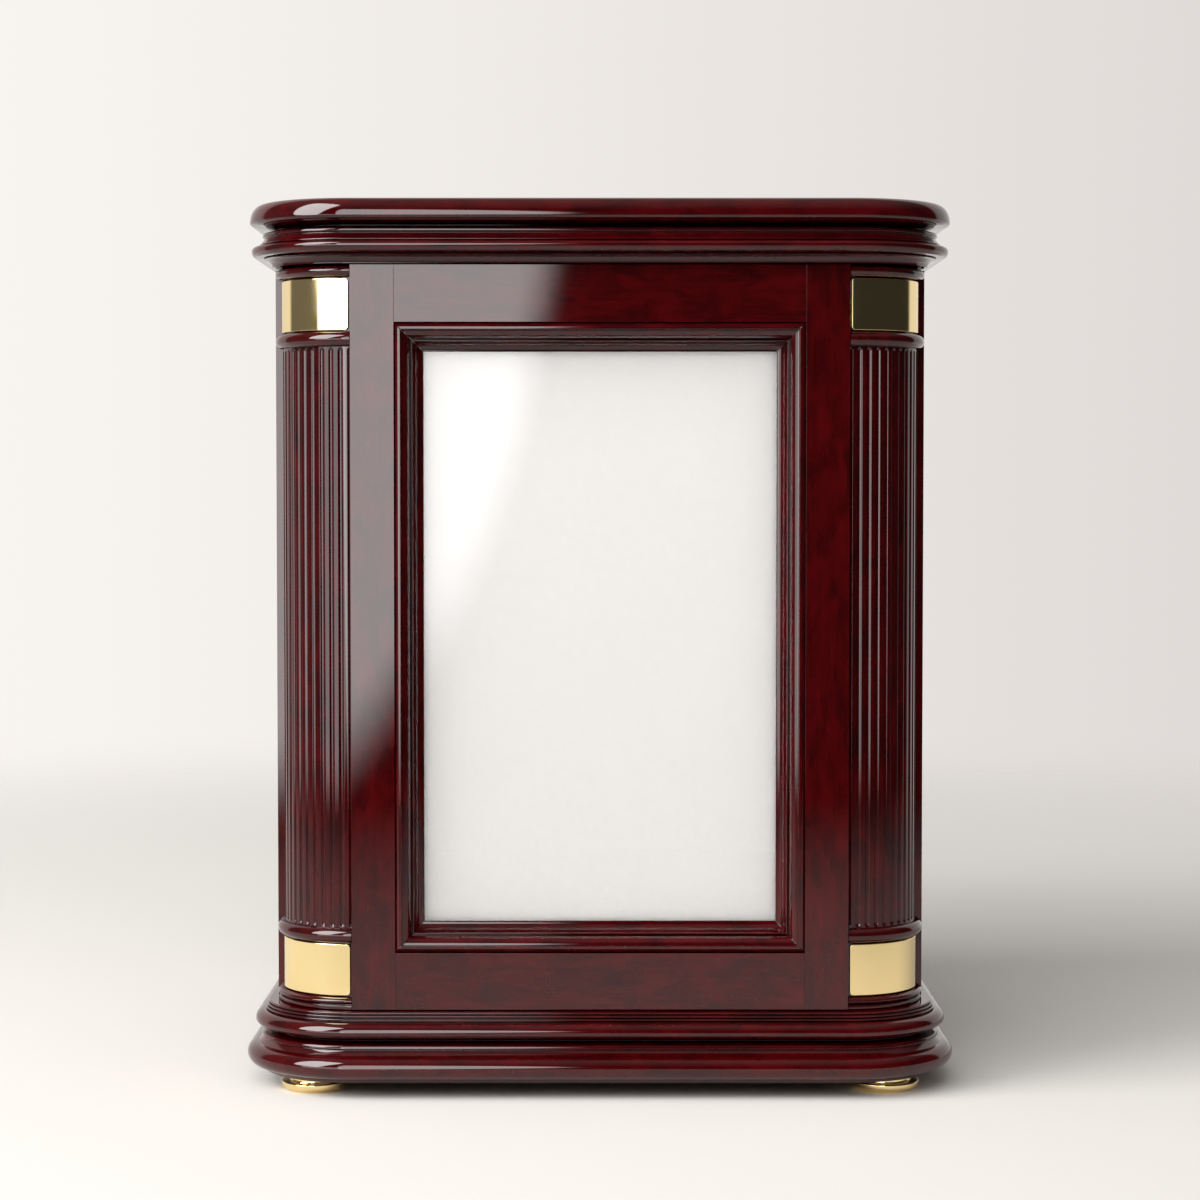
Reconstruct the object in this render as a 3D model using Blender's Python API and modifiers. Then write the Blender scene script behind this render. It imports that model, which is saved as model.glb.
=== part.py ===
"""Photo cremation urn.

A square wooden cabinet on four brass feet. Fluted quarter columns with brass bands stand at
its corners, between a moulded base and a moulded crown. The front is a frame with a sight
moulding, glass and a blank print, and the chamber behind it is closed by a board below.

Metres, +Z up. The front faces -Y, and the origin is on the floor, under the centre.
"""

import math

import bmesh
import bpy
from mathutils import Matrix, Vector

# Body
COLUMN_AXIS = 0.0646          # from the centre to each column's axis, in X and in Y
PANEL_REACH = 0.0213          # from a column's axis out to the panels' faces
PANEL_THICKNESS = 0.0150
BODY_HEIGHT = 0.1935          # from the base's top to the crown's underside
GAP = 0.0003                  # left between pieces that touch

# Crown, heights from its underside up, reaches from the column's axis
BED_HEIGHT = 0.0022
BED_FOOT_REACH = 0.0220
BED_REACH = 0.0244
BED_QUIRK_HEIGHT = 0.0005
BED_QUIRK_REACH = 0.0238
CROWN_BEAD_HEIGHT = 0.0028
CROWN_BEAD_NOSE_HEIGHT = 0.0018   # its furthest reach, above its foot
CROWN_BEAD_NECK = 0.0254
CROWN_BEAD_REACH = 0.0274
CROWN_QUIRK_HEIGHT = 0.0002
CROWN_QUIRK_REACH = 0.0248
CROWN_FILLET_HEIGHT = 0.0004
CROWN_FILLET_REACH = 0.0253
FLARE_HEIGHT = 0.0019
FLARE_REACH = 0.0242
RETURN_HEIGHT = 0.0011        # the small round under the recess
RETURN_NOSE_HEIGHT = 0.0003
RETURN_REACH = 0.0245
RETURN_TOP_REACH = 0.0234
RECESS_HEIGHT = 0.0013        # a deep V under the nosing
RECESS_REACH = 0.0212
NOSING_HEIGHT = 0.0060
NOSING_NOSE_HEIGHT = 0.0015
NOSING_NECK = 0.0246
NOSING_REACH = 0.0278

# Base, heights from its underside up, reaches from the column's axis
PLINTH_HEIGHT = 0.0012
PLINTH_REACH = 0.0250
TORUS_HEIGHT = 0.0060
TORUS_NECK = 0.0264
TORUS_REACH = 0.0294
CAVETTO_HEIGHT = 0.0016
CAVETTO_REACH = 0.0254
FILLET_HEIGHT = 0.0010
FILLET_REACH = 0.0258
QUIRK_HEIGHT = 0.0016         # a deep V under the bead
QUIRK_REACH = 0.0226
BASE_BEAD_HEIGHT = 0.0043
BASE_BEAD_NOSE_HEIGHT = 0.0019
BASE_BEAD_NECK = 0.0246
BASE_BEAD_REACH = 0.0272
REED_GROOVE_HEIGHT = 0.0002
REED_GROOVE_DEPTH = 0.0006
REED_HEIGHT = 0.0006
LOWER_REED_REACH = 0.0245
MIDDLE_REED_REACH = 0.0241
UPPER_REED_REACH = 0.0237

# Bottom board and the way in that it closes
ACCESS_WIDTH = 0.112
LEDGE_WIDTH = 0.006           # the board rests against this ledge, all round
BOARD_THICKNESS = 0.008
BOARD_RECESS = 0.0005         # the board's underside, above the base's

# Columns
SHAFT_RADIUS = 0.0193
COLUMN_BEAD_RADIUS = 0.0212
COLUMN_BEAD_HEIGHT = 0.0039
CAPITAL_HEIGHT = 0.0030
FOOT_FILLET_HEIGHT = 0.0010
FOOT_FILLET_RADIUS = 0.0208
FOOT_BEAD_HEIGHT = 0.0020
FLUTES = 12                   # channels in a quarter turn
FLUTE_RADIUS = 0.0009
FLUTE_DEPTH = 0.00035
FLUTE_STOP = 0.0003           # plain ring between a channel's end and the bead

# Brass bands
BAND_HEIGHT = 0.0135
BAND_RADIUS = 0.0197
BAND_THICKNESS = 0.0008
BAND_REVEAL = 0.0003          # shadow line above and below a band

# Brass feet
FOOT_REACH = 0.0104           # from a column's axis to the foot's, in X and in Y
FOOT_HEIGHT = 0.0042
FOOT_RADIUS = 0.0090
FOOT_SOLE_RADIUS = 0.0078
FOOT_NECK_RADIUS = 0.0068
FOOT_RIM_HEIGHT = 0.0026

# Picture frame
PRINT_WIDTH = 0.1016          # a 4 x 6 in print
PRINT_HEIGHT = 0.1524
PRINT_THICKNESS = 0.0005
PRINT_SIDE_LAP = 0.0048       # of the print that the moulding hides, at each side
PRINT_END_LAP = 0.0018        # and at the top and the bottom
OUTER_BEAD_WIDTH = 0.0010
OUTER_BEAD_PROUD = 0.0003     # it stands this far out of the front
OUTER_QUIRK_DEPTH = 0.0006
OVOLO_WIDTH = 0.0025
OVOLO_DEPTH = 0.0031
INNER_BEAD_WIDTH = 0.0011
INNER_BEAD_DROP = 0.0005      # its foot, behind the ovolo's end
SLOPE_WIDTH = 0.0021
LIP_WIDTH = 0.0003
LIP_DEPTH = 0.0010            # the edge that touches the glass
MOULDING_DEPTH = 0.0085       # from the front back to the glass
GLASS_THICKNESS = 0.0020
BACKING_THICKNESS = 0.0030

# How finely the curves are cut
CORNER_STEPS = 6              # round each corner of the base and the crown
LARGE_STEPS = 4               # in a quarter of the torus and the nosing
BEAD_STEPS = 3                # in a quarter of a bead or a cove
SMALL_STEPS = 1               # in a quarter of a reed or a sight bead
COLUMN_STEPS = 9              # in a column's quarter turn
FOOT_STEPS = 16               # round a foot
FLUTE_SIDES = 8               # round a flute's cutter

# Sizes that follow
BASE_BOTTOM = FOOT_HEIGHT
REED_REACHES = (LOWER_REED_REACH, MIDDLE_REED_REACH, UPPER_REED_REACH)
BASE_HEIGHT = (PLINTH_HEIGHT + TORUS_HEIGHT + CAVETTO_HEIGHT + FILLET_HEIGHT + QUIRK_HEIGHT
               + BASE_BEAD_HEIGHT + len(REED_REACHES) * (REED_GROOVE_HEIGHT + REED_HEIGHT))
BASE_TOP = BASE_BOTTOM + BASE_HEIGHT
CROWN_BOTTOM = BASE_TOP + BODY_HEIGHT
PANEL_FACE = COLUMN_AXIS + PANEL_REACH
BOARD_LOW = BASE_TOP + GAP    # where boards and columns begin and end
BOARD_HIGH = CROWN_BOTTOM - GAP
SIGHT_CENTRE = (BASE_TOP + CROWN_BOTTOM) / 2
SIGHT_WIDTH = PRINT_WIDTH - 2 * PRINT_SIDE_LAP       # the glass that shows
SIGHT_HEIGHT = PRINT_HEIGHT - 2 * PRINT_END_LAP
MOULDING_WIDTH = OUTER_BEAD_WIDTH + OVOLO_WIDTH + INNER_BEAD_WIDTH + SLOPE_WIDTH + LIP_WIDTH


def clear_scene():
    for obj in list(bpy.data.objects):
        bpy.data.objects.remove(obj, do_unlink=True)


def new_collection(name):
    collection = bpy.data.collections.new(name)
    bpy.context.scene.collection.children.link(collection)
    return collection


def new_material(name, colour, roughness, metallic=0.0, alpha=1.0):
    material = bpy.data.materials.new(name)
    material.use_nodes = True
    shader = material.node_tree.nodes["Principled BSDF"]
    shader.inputs["Base Color"].default_value = (*colour, 1.0)
    shader.inputs["Roughness"].default_value = roughness
    shader.inputs["Metallic"].default_value = metallic
    shader.inputs["Alpha"].default_value = alpha
    material.diffuse_color = (*colour, alpha)
    return material


def new_object(name, mesh, material, collection):
    obj = bpy.data.objects.new(name, mesh)
    collection.objects.link(obj)
    if not mesh.materials:
        mesh.materials.append(material)
    return obj


def mesh_from(bm, name):
    """Turn a closed bmesh into a mesh whose faces point out, and free it."""
    bmesh.ops.recalc_face_normals(bm, faces=bm.faces)
    if bm.calc_volume(signed=True) < 0:
        bmesh.ops.reverse_faces(bm, faces=bm.faces)
    mesh = bpy.data.meshes.new(name)
    bm.to_mesh(mesh)
    bm.free()
    mesh.shade_smooth()
    mesh.set_sharp_from_angle(angle=math.radians(30))
    return mesh


# Profiles are lists of (reach, height), from the bottom up

def quarter(start, end, leaves, steps):
    """Points of a quarter ellipse after start, to end. It leaves start flat or upright."""
    points = []
    for step in range(1, steps + 1):
        turn = math.radians(90 * step / steps)
        shares = (math.sin(turn), 1 - math.cos(turn))
        if leaves == "upright":
            shares = shares[::-1]
        points.append(tuple(a + (b - a) * share for a, b, share in zip(start, end, shares)))
    return points


def bead(neck, nose, low, high, steps, rise=None):
    """A round that leaves the neck, reaches the nose and comes back.

    The nose is halfway up, or as far above the foot as rise says.
    """
    middle = (low + high) / 2 if rise is None else low + rise
    outward = quarter((neck, low), (nose, middle), "flat", steps)
    return [(neck, low)] + outward + quarter((nose, middle), (neck, high), "upright", steps)


def crown_profile():
    z = CROWN_BOTTOM
    points = [(BED_FOOT_REACH, z)]
    points += quarter(points[-1], (BED_REACH, z + BED_HEIGHT), "upright", BEAD_STEPS)
    z += BED_HEIGHT
    points += [(BED_QUIRK_REACH, z + BED_QUIRK_HEIGHT / 2)]
    z += BED_QUIRK_HEIGHT
    points += bead(CROWN_BEAD_NECK, CROWN_BEAD_REACH, z, z + CROWN_BEAD_HEIGHT, BEAD_STEPS,
                   CROWN_BEAD_NOSE_HEIGHT)
    z += CROWN_BEAD_HEIGHT
    points += [(CROWN_QUIRK_REACH, z), (CROWN_QUIRK_REACH, z + CROWN_QUIRK_HEIGHT)]
    z += CROWN_QUIRK_HEIGHT
    points += [(CROWN_FILLET_REACH, z), (CROWN_FILLET_REACH, z + CROWN_FILLET_HEIGHT)]
    z += CROWN_FILLET_HEIGHT
    points += quarter(points[-1], (FLARE_REACH, z + FLARE_HEIGHT), "flat", BEAD_STEPS)
    z += FLARE_HEIGHT
    points += quarter(points[-1], (RETURN_REACH, z + RETURN_NOSE_HEIGHT), "flat", SMALL_STEPS)
    points += quarter(points[-1], (RETURN_TOP_REACH, z + RETURN_HEIGHT), "upright", BEAD_STEPS)
    z += RETURN_HEIGHT
    points += [(RECESS_REACH, z + RECESS_HEIGHT / 2)]
    z += RECESS_HEIGHT
    points += bead(NOSING_NECK, NOSING_REACH, z, z + NOSING_HEIGHT, LARGE_STEPS, NOSING_NOSE_HEIGHT)
    return points


def base_profile():
    z = BASE_BOTTOM
    points = [(PLINTH_REACH, z), (PLINTH_REACH, z + PLINTH_HEIGHT)]
    z += PLINTH_HEIGHT
    points += bead(TORUS_NECK, TORUS_REACH, z, z + TORUS_HEIGHT, LARGE_STEPS)
    z += TORUS_HEIGHT
    points += quarter(points[-1], (CAVETTO_REACH, z + CAVETTO_HEIGHT), "flat", BEAD_STEPS)
    z += CAVETTO_HEIGHT
    points += bead(CAVETTO_REACH, FILLET_REACH, z, z + FILLET_HEIGHT, SMALL_STEPS)[1:]
    z += FILLET_HEIGHT
    points += [(QUIRK_REACH, z + QUIRK_HEIGHT / 2)]
    z += QUIRK_HEIGHT
    points += bead(BASE_BEAD_NECK, BASE_BEAD_REACH, z, z + BASE_BEAD_HEIGHT, BEAD_STEPS,
                   BASE_BEAD_NOSE_HEIGHT)
    z += BASE_BEAD_HEIGHT
    for nose in REED_REACHES:
        groove = nose - REED_GROOVE_DEPTH
        points += [(groove, z), (groove, z + REED_GROOVE_HEIGHT)]
        z += REED_GROOVE_HEIGHT
        points += bead(nose - REED_HEIGHT / 2, nose, z, z + REED_HEIGHT, SMALL_STEPS)[1:]
        z += REED_HEIGHT
    return points


def column_heights():
    """The column's turned members from its foot up, as (name, low, high)."""
    band_zone = BAND_HEIGHT + 2 * BAND_REVEAL
    foot = [("fillet", FOOT_FILLET_HEIGHT), ("foot_bead", FOOT_BEAD_HEIGHT),
            ("lower_band", band_zone), ("lower_bead", COLUMN_BEAD_HEIGHT)]
    head = [("capital", CAPITAL_HEIGHT), ("upper_band", band_zone),
            ("upper_bead", COLUMN_BEAD_HEIGHT)]
    members = {}
    z = BOARD_LOW
    for name, height in foot:
        members[name] = (z, z + height)
        z += height
    shaft_low = z
    z = BOARD_HIGH
    for name, height in head:
        members[name] = (z - height, z)
        z -= height
    members["shaft"] = (shaft_low, z)
    return members


def column_profile(members):
    """The outer side of a column, from its foot up, as (radius, height)."""
    seat = BAND_RADIUS - BAND_THICKNESS - GAP
    low, high = members["fillet"]
    points = [(FOOT_FILLET_RADIUS, low), (FOOT_FILLET_RADIUS, high)]
    points += bead(SHAFT_RADIUS, COLUMN_BEAD_RADIUS, *members["foot_bead"], BEAD_STEPS - 1)
    points += [(seat, z) for z in members["lower_band"]]
    points += bead(SHAFT_RADIUS, COLUMN_BEAD_RADIUS, *members["lower_bead"], BEAD_STEPS)
    points += bead(SHAFT_RADIUS, COLUMN_BEAD_RADIUS, *members["upper_bead"], BEAD_STEPS)
    points += [(seat, z) for z in members["upper_band"]]
    points += bead(SHAFT_RADIUS, COLUMN_BEAD_RADIUS, *members["capital"], BEAD_STEPS)
    return points


def extruded(bm, face):
    """Extrude a face where it lies, and give the new face."""
    grown = bmesh.ops.extrude_face_region(bm, geom=[face, *face.edges, *face.verts])["geom"]
    return next(item for item in grown if isinstance(item, bmesh.types.BMFace))


def moulded_block(name, profile, material, collection):
    """A block whose outline is a square with round corners, moulded by a profile all round.

    The underside is drawn first, and each point of the profile is one extrusion of the cap.
    The corners turn round the column axes, so every member keeps its width round them.
    """
    bm = bmesh.new()
    reach, z = profile[0]
    ring = []
    for corner in range(4):
        quadrant = math.radians(90 * corner + 45)
        centre = Vector((math.copysign(COLUMN_AXIS, math.cos(quadrant)),
                         math.copysign(COLUMN_AXIS, math.sin(quadrant)), z))
        for step in range(CORNER_STEPS + 1):
            angle = math.radians(90 * (corner + step / CORNER_STEPS))
            ring.append(bm.verts.new(centre + reach * Vector((math.cos(angle), math.sin(angle), 0))))
    cap = bm.faces.new(ring)
    for reach, z in profile[1:]:
        cap = extruded(bm, cap)
        for vert in cap.verts:
            centre = Vector((math.copysign(COLUMN_AXIS, vert.co.x),
                             math.copysign(COLUMN_AXIS, vert.co.y), vert.co.z))
            vert.co = centre + (vert.co - centre).normalized() * reach
            vert.co.z = z
    return new_object(name, mesh_from(bm, name), material, collection)


def box_mesh(name, low, high):
    low, high = Vector(low), Vector(high)
    bm = bmesh.new()
    size = Matrix.Diagonal((*(high - low), 1.0))
    bmesh.ops.create_cube(bm, size=1.0, matrix=Matrix.Translation((low + high) / 2) @ size)
    return mesh_from(bm, name)


def board(name, low, high, material, collection):
    return new_object(name, box_mesh(name, low, high), material, collection)


def cut(obj, mesh, cutters):
    """Take a closed mesh out of an object, with a cutter that stays hidden."""
    cutter = bpy.data.objects.new(mesh.name, mesh)
    cutters.objects.link(cutter)
    cutter.hide_render = True
    cutter.display_type = "WIRE"
    modifier = obj.modifiers.new(mesh.name, "BOOLEAN")
    modifier.operation = "DIFFERENCE"
    modifier.object = cutter


def turned_sector(name, outline, start_angle, end_angle, steps):
    """Turn a closed outline of (radius, height) part of the way round, both ends closed."""
    bm = bmesh.new()
    start = Matrix.Rotation(start_angle, 3, "Z")
    verts = [bm.verts.new(start @ Vector((radius, 0, z))) for radius, z in outline]
    face = bm.faces.new(verts)
    bmesh.ops.spin(bm, geom=[face], cent=(0, 0, 0), axis=(0, 0, 1),
                   angle=end_angle - start_angle, steps=steps)
    bmesh.ops.remove_doubles(bm, verts=bm.verts, dist=0.00001)
    return mesh_from(bm, name)


def flute_cutter(members):
    """Rods along the shaft, one for each channel, with a half channel against each panel."""
    low, high = members["shaft"]
    length = high - low - 2 * FLUTE_STOP
    bm = bmesh.new()
    for flute in range(FLUTES + 1):
        angle = math.radians(90 * flute / FLUTES)
        centre = SHAFT_RADIUS - FLUTE_DEPTH + FLUTE_RADIUS
        place = Matrix.Rotation(angle, 4, "Z") @ Matrix.Translation((centre, 0, (low + high) / 2))
        turn = Matrix.Rotation(math.pi / FLUTE_SIDES, 4, "Z")
        bmesh.ops.create_cone(bm, cap_ends=True, segments=FLUTE_SIDES, radius1=FLUTE_RADIUS,
                              radius2=FLUTE_RADIUS, depth=length, matrix=place @ turn)
    return mesh_from(bm, "flutes")


def column_mesh(members, material, collection, cutters):
    """One quarter column about its own axis, fluted, as a plain mesh."""
    outline = [(0, BOARD_LOW)] + column_profile(members) + [(0, BOARD_HIGH)]
    mesh = turned_sector("column", outline, 0, math.radians(90), COLUMN_STEPS)
    blank = new_object("column_blank", mesh, material, collection)
    cut(blank, flute_cutter(members), cutters)
    evaluated = blank.evaluated_get(bpy.context.evaluated_depsgraph_get())
    fluted = bpy.data.meshes.new_from_object(evaluated)
    fluted.name = "column"
    bpy.data.objects.remove(cutters.objects["flutes"], do_unlink=True)
    bpy.data.objects.remove(blank, do_unlink=True)
    return fluted


def foot_mesh():
    """A turned disc with a round rim and a narrower neck, closed on its axis."""
    neck_top = BASE_BOTTOM - GAP
    rim_middle = FOOT_RIM_HEIGHT / 2
    side = [(FOOT_SOLE_RADIUS, 0)]
    side += quarter(side[-1], (FOOT_RADIUS, rim_middle), "flat", BEAD_STEPS - 1)
    side += quarter(side[-1], (FOOT_SOLE_RADIUS, FOOT_RIM_HEIGHT), "upright", BEAD_STEPS - 1)
    side += [(FOOT_NECK_RADIUS, FOOT_RIM_HEIGHT), (FOOT_NECK_RADIUS, neck_top)]
    profile = [(0, 0)] + side + [(0, neck_top)]
    mesh = bpy.data.meshes.new("foot")
    verts = [(radius, 0, z) for radius, z in reversed(profile)]
    edges = [(index, index + 1) for index in range(len(verts) - 1)]
    mesh.from_pydata(verts, edges, [])
    return mesh


def add_feet(brass, collection):
    mesh = foot_mesh()
    place = COLUMN_AXIS + FOOT_REACH
    for name, across, along in corners():
        foot = new_object(f"foot_{name}", mesh, brass, collection)
        foot.location = (across * place, along * place, 0)
        screw = foot.modifiers.new("turning", "SCREW")
        screw.steps = FOOT_STEPS
        screw.render_steps = FOOT_STEPS
        screw.use_merge_vertices = True
        screw.merge_threshold = 0.00001


def corners():
    """The four corners as (name, side in X, side in Y). The front is at -Y."""
    return [("back_right", 1, 1), ("back_left", -1, 1), ("front_left", -1, -1), ("front_right", 1, -1)]


def add_columns(wood, brass, collection, cutters):
    members = column_heights()
    column = column_mesh(members, wood, collection, cutters)
    inner, outer = BAND_RADIUS - BAND_THICKNESS, BAND_RADIUS
    end = GAP / BAND_RADIUS
    bands = {}
    for level in ("lower", "upper"):
        low, high = members[f"{level}_band"]
        low, high = low + BAND_REVEAL, high - BAND_REVEAL
        outline = [(inner, low), (outer, low), (outer, high), (inner, high)]
        bands[level] = turned_sector(f"band_{level}", outline, end, math.radians(90) - end, COLUMN_STEPS)
    for index, (name, across, along) in enumerate(corners()):
        pieces = [new_object(f"column_{name}", column, wood, collection)]
        for level, mesh in bands.items():
            pieces.append(new_object(f"band_{level}_{name}", mesh, brass, collection))
        for piece in pieces:
            piece.location = (across * COLUMN_AXIS, along * COLUMN_AXIS, 0)
            piece.rotation_euler.z = math.radians(90 * index)


def sight_profile():
    """The sight moulding's section as (inward from its outer edge, depth behind the front).

    From the outside in: a small outer bead, a quirk, an ovolo, an inner bead between quirks
    and a cavetto down to the lip on the glass.
    """
    bead_foot = OVOLO_DEPTH + INNER_BEAD_DROP
    slope_foot = MOULDING_DEPTH - LIP_DEPTH
    points = [(0, OUTER_QUIRK_DEPTH)]
    points += quarter(points[-1], (OUTER_BEAD_WIDTH / 2, -OUTER_BEAD_PROUD), "upright", SMALL_STEPS + 1)
    points += quarter(points[-1], (OUTER_BEAD_WIDTH, OUTER_QUIRK_DEPTH), "flat", SMALL_STEPS + 1)
    inward = OUTER_BEAD_WIDTH + OVOLO_WIDTH
    points += quarter(points[-1], (inward, OVOLO_DEPTH), "flat", BEAD_STEPS)
    points += [(inward, bead_foot)]
    nose = inward + INNER_BEAD_WIDTH / 2
    inward += INNER_BEAD_WIDTH
    points += quarter(points[-1], (nose, OVOLO_DEPTH), "upright", SMALL_STEPS)
    points += quarter(points[-1], (inward, bead_foot), "flat", SMALL_STEPS)
    points += [(inward, bead_foot + INNER_BEAD_DROP)]
    inward += SLOPE_WIDTH
    points += quarter(points[-1], (inward, slope_foot), "upright", BEAD_STEPS)
    points += [(MOULDING_WIDTH, slope_foot), (MOULDING_WIDTH, MOULDING_DEPTH), (0, MOULDING_DEPTH)]
    return points


def add_sight_moulding(wood, collection):
    """Four lengths mitred at the corners, each extruded from one mitre to the other."""
    width = SIGHT_WIDTH / 2 + MOULDING_WIDTH
    height = SIGHT_HEIGHT / 2 + MOULDING_WIDTH
    mitre = GAP / math.sqrt(2)
    sides = [("bottom", width, height, 0), ("right", height, width, 90),
             ("top", width, height, 180), ("left", height, width, 270)]
    for side, half_length, distance, turn in sides:
        bm = bmesh.new()
        section = [bm.verts.new((inward + mitre - half_length, depth - PANEL_FACE, inward - distance))
                   for inward, depth in sight_profile()]
        for vert in extruded(bm, bm.faces.new(section)).verts:
            vert.co.x = -vert.co.x
        place = Matrix.Translation((0, 0, SIGHT_CENTRE)) @ Matrix.Rotation(math.radians(-turn), 4, "Y")
        bm.transform(place)
        name = f"sight_moulding_{side}"
        new_object(name, mesh_from(bm, name), wood, collection)


def add_front(wood, glass, card, backing, collection):
    """The front frame, and what its opening holds from the moulding back."""
    inner = COLUMN_AXIS - GAP
    back = -PANEL_FACE + PANEL_THICKNESS
    opening = SIGHT_WIDTH / 2 + MOULDING_WIDTH + GAP
    sill = SIGHT_CENTRE - SIGHT_HEIGHT / 2 - MOULDING_WIDTH - GAP
    head = SIGHT_CENTRE + SIGHT_HEIGHT / 2 + MOULDING_WIDTH + GAP
    rail_end = opening - GAP
    board("stile_left", (-inner, -PANEL_FACE, BOARD_LOW), (-opening, back, BOARD_HIGH), wood, collection)
    board("stile_right", (opening, -PANEL_FACE, BOARD_LOW), (inner, back, BOARD_HIGH), wood, collection)
    board("rail_bottom", (-rail_end, -PANEL_FACE, BOARD_LOW), (rail_end, back, sill), wood, collection)
    board("rail_top", (-rail_end, -PANEL_FACE, head), (rail_end, back, BOARD_HIGH), wood, collection)
    add_sight_moulding(wood, collection)

    pocket = (opening - GAP, (head - sill) / 2 - GAP)
    layers = [("picture_glass", pocket, GLASS_THICKNESS, glass),
              ("photo_insert", (PRINT_WIDTH / 2, PRINT_HEIGHT / 2), PRINT_THICKNESS, card),
              ("backing_board", pocket, BACKING_THICKNESS, backing)]
    y = MOULDING_DEPTH - PANEL_FACE
    for name, (across, up), thickness, material in layers:
        y += GAP
        board(name, (-across, y, SIGHT_CENTRE - up), (across, y + thickness, SIGHT_CENTRE + up),
              material, collection)
        y += thickness


def add_panels(wood, collection):
    """The plain sides and back, between the columns."""
    inner = COLUMN_AXIS - GAP
    inside = PANEL_FACE - PANEL_THICKNESS
    board("side_panel_left", (-PANEL_FACE, -inner, BOARD_LOW), (-inside, inner, BOARD_HIGH), wood, collection)
    board("side_panel_right", (inside, -inner, BOARD_LOW), (PANEL_FACE, inner, BOARD_HIGH), wood, collection)
    board("back_panel", (-inner, inside, BOARD_LOW), (inner, PANEL_FACE, BOARD_HIGH), wood, collection)


def add_base(wood, collection, cutters):
    """The moulded base, its way in from below, and the board that closes it."""
    base = moulded_block("base_moulding", base_profile(), wood, collection)
    way_in = ACCESS_WIDTH / 2
    rebate = way_in + LEDGE_WIDTH
    underside = BASE_BOTTOM + BOARD_RECESS
    ledge = underside + BOARD_THICKNESS + GAP
    clear = 0.001
    cut(base, box_mesh("way_in", (-way_in, -way_in, BASE_BOTTOM - clear),
                       (way_in, way_in, BASE_TOP + clear)), cutters)
    cut(base, box_mesh("rebate", (-rebate, -rebate, BASE_BOTTOM - clear),
                       (rebate, rebate, ledge)), cutters)
    edge = rebate - GAP
    board("bottom_board", (-edge, -edge, underside), (edge, edge, underside + BOARD_THICKNESS),
          wood, collection)


def build():
    clear_scene()
    parts = new_collection("photo_cremation_urn")
    cutters = new_collection("cutters")
    wood = new_material("lacquered_mahogany", (0.085, 0.007, 0.009), 0.12)
    brass = new_material("polished_brass", (0.80, 0.60, 0.28), 0.12, metallic=1.0)
    glass = new_material("picture_glass", (0.95, 0.97, 0.97), 0.02, alpha=0.2)
    card = new_material("white_card", (0.86, 0.85, 0.83), 0.6)
    backing = new_material("backing_fibreboard", (0.22, 0.12, 0.06), 0.8)

    add_base(wood, parts, cutters)
    add_columns(wood, brass, parts, cutters)
    add_front(wood, glass, card, backing, parts)
    add_panels(wood, parts)
    moulded_block("crown", crown_profile(), wood, parts)
    add_feet(brass, parts)


build()
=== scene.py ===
# %% [markdown]
# # A photo cremation urn, dressed
#
# The urn is a square wooden cabinet on four brass feet. Fluted quarter columns with brass
# bands stand at its corners, between a moulded base and a moulded crown, and the front is a
# picture frame with glass over a blank card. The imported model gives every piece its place
# and size. This file gives each one its fine shape and its finish.
#
# A reader can run it a cell at a time and look at the printed sizes.

import math

import bmesh
import bpy
from mathutils import Matrix, Vector


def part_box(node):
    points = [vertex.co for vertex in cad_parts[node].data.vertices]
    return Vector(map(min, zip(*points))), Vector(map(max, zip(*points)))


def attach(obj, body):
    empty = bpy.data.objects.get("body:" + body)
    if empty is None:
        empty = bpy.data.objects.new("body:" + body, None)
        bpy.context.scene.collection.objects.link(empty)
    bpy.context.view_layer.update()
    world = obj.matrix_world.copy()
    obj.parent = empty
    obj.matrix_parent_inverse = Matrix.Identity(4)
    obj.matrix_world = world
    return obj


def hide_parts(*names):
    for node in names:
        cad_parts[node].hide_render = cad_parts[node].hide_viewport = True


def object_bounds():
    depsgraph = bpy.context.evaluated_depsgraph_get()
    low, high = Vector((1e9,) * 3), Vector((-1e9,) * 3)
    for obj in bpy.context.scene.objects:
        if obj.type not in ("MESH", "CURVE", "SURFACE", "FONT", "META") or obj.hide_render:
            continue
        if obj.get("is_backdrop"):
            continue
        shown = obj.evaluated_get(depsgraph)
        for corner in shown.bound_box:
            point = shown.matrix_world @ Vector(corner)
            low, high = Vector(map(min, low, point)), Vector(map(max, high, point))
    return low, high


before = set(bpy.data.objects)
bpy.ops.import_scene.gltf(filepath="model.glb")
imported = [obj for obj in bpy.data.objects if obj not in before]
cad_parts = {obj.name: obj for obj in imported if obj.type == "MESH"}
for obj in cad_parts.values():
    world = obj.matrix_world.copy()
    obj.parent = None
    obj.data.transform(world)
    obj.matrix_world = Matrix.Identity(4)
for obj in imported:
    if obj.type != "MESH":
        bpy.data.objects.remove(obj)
cad_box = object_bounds()
MM = 0.001
print("nodes:", len(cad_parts), "box in mm:", [round(v / MM, 1) for v in cad_box[1] - cad_box[0]])

# %% [markdown]
# ## The camera
#
# The picture was taken square on, a little above the middle of the urn and looking down by
# two degrees. A long lens keeps the uprights nearly parallel. The distance was worked out
# from how much wider the base's front looks than the panels behind it.

# %% Camera
lens = bpy.data.cameras.new("camera")
lens.lens = 85
lens.sensor_width = 36
camera = bpy.data.objects.new("camera", lens)
camera.location = (0, -0.8173, 0.1572)
camera.rotation_euler = (math.radians(87.8), 0, 0)
bpy.context.scene.collection.objects.link(camera)
bpy.context.scene.camera = camera
bpy.context.scene.view_settings.view_transform = "Standard"
print("camera at", tuple(camera.location))

# %% [markdown]
# ## Two helpers for materials
#
# Colours are written as the hex codes that a painter reads off a screen. Shaders work in
# linear light, so one function turns the one into the other. Another adds a node with its
# settings, and links an input where it is given a socket instead of a number.


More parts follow.
